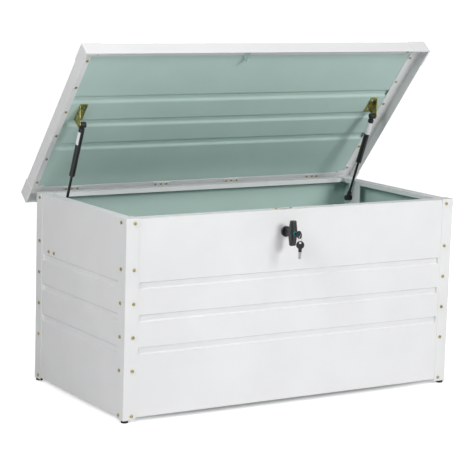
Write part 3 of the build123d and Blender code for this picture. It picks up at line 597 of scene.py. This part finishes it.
class STORAGEBOX_OT_lid(bpy.types.Operator):
    """Press the lid's sheet, fold its four rails and paint the corner caps"""

    bl_idname = "storagebox.lid"
    bl_label = "Build Lid"

    def execute(self, context):
        sizes = context.scene.box_sizes
        finish = finishes()
        bm = bmesh.new()
        rib = (
            (-LID_BEAD_FOOT, 0), (-LID_BEAD_FLAT, LID_BEAD_RISE),
            (LID_BEAD_FLAT, LID_BEAD_RISE), (LID_BEAD_FOOT, 0),
        )
        profile = [(-LID_FRONT + LID_EDGE_GAP, LID_SHEET_Z)]
        for middle in sorted(LID_BEADS, reverse=True):
            profile += [(-middle + offset, LID_SHEET_Z + rise) for offset, rise in rib]
        profile.append((-LID_REAR - LID_EDGE_GAP, LID_SHEET_Z))
        fold_sheet(bm, profile, 2 * (LID_HALF - LID_EDGE_GAP))
        face_outwards(bm, faces_between(bm, (-1, -1, 0), (1, 1, LID_SHEET_Z + TOL))[0], (0, 0, -1))
        round_bends(bm, LID_BEND)
        back_sheet(bm, sizes.sheet, (0, 0, 1), (-1, -1, 0), (1, 1, 1))
        paint = [finish["green"], finish["white"]]
        sheet = add_piece("lid_sheet", bm, LID_PLACE, "lid", ["lid_panel"], paint)
        flatten_shading(sheet)

        depth = LID_FRONT - LID_REAR
        middle = -(LID_FRONT + LID_REAR) / 2
        rails = {
            "front": ((0, -LID_FRONT), 0, 2 * LID_HALF, LID_LIP, (LID_LIP, LID_LIP)),
            "rear": ((0, -LID_REAR), 180, 2 * LID_HALF, LID_REAR_LIP, (LID_LIP, LID_LIP)),
            "left": ((-LID_HALF, middle), -90, depth, LID_LIP, (LID_REAR_LIP, LID_LIP)),
            "right": ((LID_HALF, middle), 90, depth, LID_LIP, (LID_LIP, LID_REAR_LIP)),
        }
        for side, (spot, turn, length, lip, others) in rails.items():
            place = LID_PLACE @ Matrix.Translation((*spot, 0)) @ Matrix.Rotation(math.radians(turn), 4, "Z")
            piece = add_piece(
                f"lid_{side}_rail", lid_rail(lip, length, others), place, "lid", [f"lid_rail_{side}"],
                [finish["white"]],
            )
            thicken(piece, sizes.rail_sheet)
        paint_nodes(
            finish["white"], "lid_corner_front_left", "lid_corner_front_right", "lid_corner_rear_left",
            "lid_corner_rear_right",
        )
        paint_nodes(finish["green"], "lid_striker")
        paint_nodes(finish["steel"], "lid_rivets")
        return {"FINISHED"}


class STORAGEBOX_OT_hinges(bpy.types.Operator):
    """Finish the hinges' leaves and pins"""

    bl_idname = "storagebox.hinges"
    bl_label = "Finish Hinges"

    def execute(self, context):
        paint_nodes(finishes()["white"], "hinge_lower_leaves", "hinge_upper_leaves")
        paint_nodes(finishes()["steel"], "hinge_pins")
        return {"FINISHED"}


class STORAGEBOX_OT_fasteners(bpy.types.Operator):
    """Plate the screws and nuts"""

    bl_idname = "storagebox.fasteners"
    bl_label = "Finish Fasteners"

    def execute(self, context):
        paint_nodes(
            finishes()["gold"], "post_screws", "post_nuts", "strut_plate_screws", "hinge_lower_screws",
            "hinge_upper_screws", "lid_screws", "latch_screws",
        )
        return {"FINISHED"}


class STORAGEBOX_OT_struts(bpy.types.Operator):
    """Finish the two gas struts and their brackets, and wrap a plain label round each tube"""

    bl_idname = "storagebox.struts"
    bl_label = "Finish Struts"

    LABEL_RADIUS = 0.00915
    LABEL_START = 0.244  # along the strut, from its lower pivot
    LABEL_LENGTH = 0.042
    LABEL_THICKNESS = 0.0002
    LABEL_FACING = {"left": (-0.9, 0.44), "right": (-0.6, -0.8)}
    LABEL_EDGE = 0.2  # cosine of the angle from the way the label faces to its edge

    def add_label(self, side, finish):
        """A paper label part of the way round the tube's upper end, drawn along Z from the lower pivot."""
        joints = {joint["name"]: joint for joint in frame["joints"]}
        pivot = Vector(joints[side + "_strut_swing"]["pos_m"])
        lean = Vector((0, 0, 1)).rotation_difference(Vector(joints[side + "_strut_slide"]["axis"]))
        bm = bmesh.new()
        start = bmesh.ops.create_circle(bm, cap_ends=False, radius=self.LABEL_RADIUS, segments=48)["verts"]
        bmesh.ops.translate(bm, vec=(0, 0, self.LABEL_START), verts=start)
        made = bmesh.ops.extrude_edge_only(bm, edges=bm.edges[:])["geom"]
        top = [part for part in made if isinstance(part, bmesh.types.BMVert)]
        bmesh.ops.translate(bm, vec=(0, 0, self.LABEL_LENGTH), verts=top)
        bmesh.ops.recalc_face_normals(bm, faces=bm.faces)
        bm.faces.ensure_lookup_table()
        face_outwards(bm, bm.faces[0], bm.faces[0].calc_center_median().xy.to_3d())
        facing = Vector(self.LABEL_FACING[side])
        spare = [
            face for face in bm.faces
            if face.calc_center_median().xy.normalized().dot(facing) < self.LABEL_EDGE
        ]
        bmesh.ops.delete(bm, geom=spare, context="FACES")
        place = Matrix.Translation(pivot) @ lean.to_matrix().to_4x4()
        label = add_piece("strut_label_" + side, bm, place, side + "_tube", [], [finish])
        thicken(label, self.LABEL_THICKNESS)

    def execute(self, context):
        finish = finishes()
        for side in ("left", "right"):
            paint_nodes(finish["plastic"], "strut_socket_lower_" + side, "strut_socket_upper_" + side)
            paint_nodes(finish["enamel"], "strut_tube_" + side)
            paint_nodes(finish["rod"], "strut_rod_" + side)
            paint_nodes(finish["olive"], "strut_bracket_" + side)
            self.add_label(side, finish["label"])
        paint_nodes(finish["enamel"], "lower_pivot_studs", "upper_pivot_studs")
        return {"FINISHED"}


class STORAGEBOX_OT_lock(bpy.types.Operator):
    """Finish the lock, its T-handle and the keys"""

    bl_idname = "storagebox.lock"
    bl_label = "Finish Lock"

    def execute(self, context):
        finish = finishes()
        paint_nodes(finish["enamel"], "lock_rosette", "lock_barrel", "t_handle")
        paint_nodes(finish["plastic"], "key_head", "spare_key_head")
        paint_nodes(finish["teal"], "lock_plug")
        paint_nodes(
            finish["steel"], "key_blade", "spare_key_blade", "key_ring", "lock_nut", "lock_tongue",
            "tongue_screw",
        )
        return {"FINISHED"}


# ---------------------------------------------------------------- stage


def soft_light(name, place, aim, size, power):
    light = bpy.data.lights.new(name, "AREA")
    light.shape = "DISK"
    light.size = size
    light.energy = power
    lamp = bpy.data.objects.new(name, light)
    lamp.location = place
    lamp.rotation_euler = (Vector(aim) - Vector(place)).to_track_quat("-Z", "Y").to_euler()
    bpy.context.scene.collection.objects.link(lamp)


def even_sky(strength):
    """The same light from all round, seen as plain white."""
    world = bpy.data.worlds.new("Studio")
    world.use_nodes = True
    tree = world.node_tree
    light = tree.nodes["Background"]
    light.inputs["Color"].default_value = (1, 1, 1, 1)
    light.inputs["Strength"].default_value = strength
    backdrop = tree.nodes.new("ShaderNodeBackground")
    backdrop.inputs["Color"].default_value = (1, 1, 1, 1)
    backdrop.inputs["Strength"].default_value = 1.05
    path = tree.nodes.new("ShaderNodeLightPath")
    mix = tree.nodes.new("ShaderNodeMixShader")
    tree.links.new(path.outputs["Is Camera Ray"], mix.inputs["Fac"])
    tree.links.new(light.outputs["Background"], mix.inputs[1])
    tree.links.new(backdrop.outputs["Background"], mix.inputs[2])
    tree.links.new(mix.outputs["Shader"], tree.nodes["World Output"].inputs["Surface"])
    bpy.context.scene.world = world


FLOOR_RADIUS = 14.0
FLOOR_GLOW = (0.25, 1.0)
GLOW_REACH = (0.35, 1.0)  # metres from the middle of the floor, where the glow starts and is full
# Name: place, aim and size of a soft light. Its power is a setting of the stage.
LIGHTS = {
    "Key": ((1.7, -4.1, 2.3), (0, 0, 0.5), 1.8),
    "Fill": ((-3.1, -1.5, 2.7), (0, 0, 0.5), 1.8),
    "Top": ((-0.3, -0.4, 3.4), (0, 0, 0.4), 2.6),
}


def glow_with_distance(tree, shader):
    """Shows a floor as plain white away from the object, without lighting anything."""
    place = tree.nodes.new("ShaderNodeTexCoord")
    away = tree.nodes.new("ShaderNodeVectorMath")
    away.operation = "LENGTH"
    rise = tree.nodes.new("ShaderNodeMapRange")
    rise.interpolation_type = "SMOOTHSTEP"
    rise.inputs["From Min"].default_value, rise.inputs["From Max"].default_value = GLOW_REACH
    rise.inputs["To Min"].default_value, rise.inputs["To Max"].default_value = FLOOR_GLOW
    shader.inputs["Emission Color"].default_value = (1, 1, 1, 1)
    path = tree.nodes.new("ShaderNodeLightPath")
    seen = tree.nodes.new("ShaderNodeMath")
    seen.operation = "MULTIPLY"
    tree.links.new(place.outputs["Object"], away.inputs[0])
    tree.links.new(away.outputs["Value"], rise.inputs["Value"])
    tree.links.new(rise.outputs["Result"], seen.inputs[0])
    tree.links.new(path.outputs["Is Camera Ray"], seen.inputs[1])
    tree.links.new(seen.outputs["Value"], shader.inputs["Emission Strength"])


class STORAGEBOX_OT_stage(bpy.types.Operator):
    """Set up the pale floor, the soft light and the camera"""

    bl_idname = "storagebox.stage"
    bl_label = "Build Stage"

    def execute(self, context):
        scene = context.scene
        stage = scene.box_stage

        bm = bmesh.new()
        bmesh.ops.create_circle(bm, cap_ends=True, radius=FLOOR_RADIUS, segments=96)
        mesh = bpy.data.meshes.new("Studio floor")
        bm.to_mesh(mesh)
        bm.free()
        floor_finish, tree, shader = node_material("Studio floor")
        shader.inputs["Base Color"].default_value = (0.93, 0.93, 0.93, 1)
        shader.inputs["Roughness"].default_value = 0.9
        shader.inputs["Specular IOR Level"].default_value = 0.1
        glow_with_distance(tree, shader)
        mesh.materials.append(floor_finish)
        floor = bpy.data.objects.new("studio_floor", mesh)
        scene.collection.objects.link(floor)

        even_sky(stage.sky)
        for name, power in (("Key", stage.key), ("Fill", stage.fill), ("Top", stage.top)):
            soft_light(name, *LIGHTS[name], power)

        az, el = stage.azimuth, stage.elevation
        back = Vector((math.sin(az) * math.cos(el), -math.cos(az) * math.cos(el), math.sin(el)))
        camera_data = bpy.data.cameras.new("Camera")
        camera_data.lens = stage.lens
        camera_data.sensor_width = 36
        camera_data.clip_end = 200
        camera = bpy.data.objects.new("Camera", camera_data)
        upright = (-back).to_track_quat("-Z", "Y").to_matrix().to_4x4()
        camera.matrix_world = (
            Matrix.Translation(Vector(stage.target) + back * stage.distance)
            @ upright
            @ Matrix.Rotation(stage.roll, 4, "Z")
        )
        scene.collection.objects.link(camera)
        scene.camera = camera
        scene.view_settings.view_transform = "Standard"
        return {"FINISHED"}


class STORAGEBOX_PT_panel(bpy.types.Panel):
    bl_label = "Storage Box"
    bl_idname = "STORAGEBOX_PT_panel"
    bl_space_type = "VIEW_3D"
    bl_region_type = "UI"
    bl_category = "Storage Box"

    def draw(self, context):
        for operator in OPERATORS:
            self.layout.operator(operator.bl_idname)
        for group in (context.scene.box_sizes, context.scene.box_colours, context.scene.box_stage):
            for name in group.bl_rna.properties.keys():
                if name not in ("rna_type", "name"):
                    self.layout.prop(group, name)


OPERATORS = (
    STORAGEBOX_OT_stage,
    STORAGEBOX_OT_walls,
    STORAGEBOX_OT_posts,
    STORAGEBOX_OT_inside,
    STORAGEBOX_OT_lid,
    STORAGEBOX_OT_hinges,
    STORAGEBOX_OT_fasteners,
    STORAGEBOX_OT_struts,
    STORAGEBOX_OT_lock,
)
CLASSES = (BoxSizes, BoxColours, BoxStage) + OPERATORS + (STORAGEBOX_PT_panel,)


def register():
    for cls in CLASSES:
        bpy.utils.register_class(cls)
    bpy.types.Scene.box_sizes = PointerProperty(type=BoxSizes)
    bpy.types.Scene.box_colours = PointerProperty(type=BoxColours)
    bpy.types.Scene.box_stage = PointerProperty(type=BoxStage)


def unregister():
    del bpy.types.Scene.box_stage
    del bpy.types.Scene.box_colours
    del bpy.types.Scene.box_sizes
    for cls in reversed(CLASSES):
        bpy.utils.unregister_class(cls)


def main():
    register()
    bpy.ops.storagebox.stage()
    bpy.ops.storagebox.walls()
    bpy.ops.storagebox.posts()
    bpy.ops.storagebox.inside()
    bpy.ops.storagebox.lid()
    bpy.ops.storagebox.hinges()
    bpy.ops.storagebox.fasteners()
    bpy.ops.storagebox.struts()
    bpy.ops.storagebox.lock()


if __name__ == "__main__":
    main()
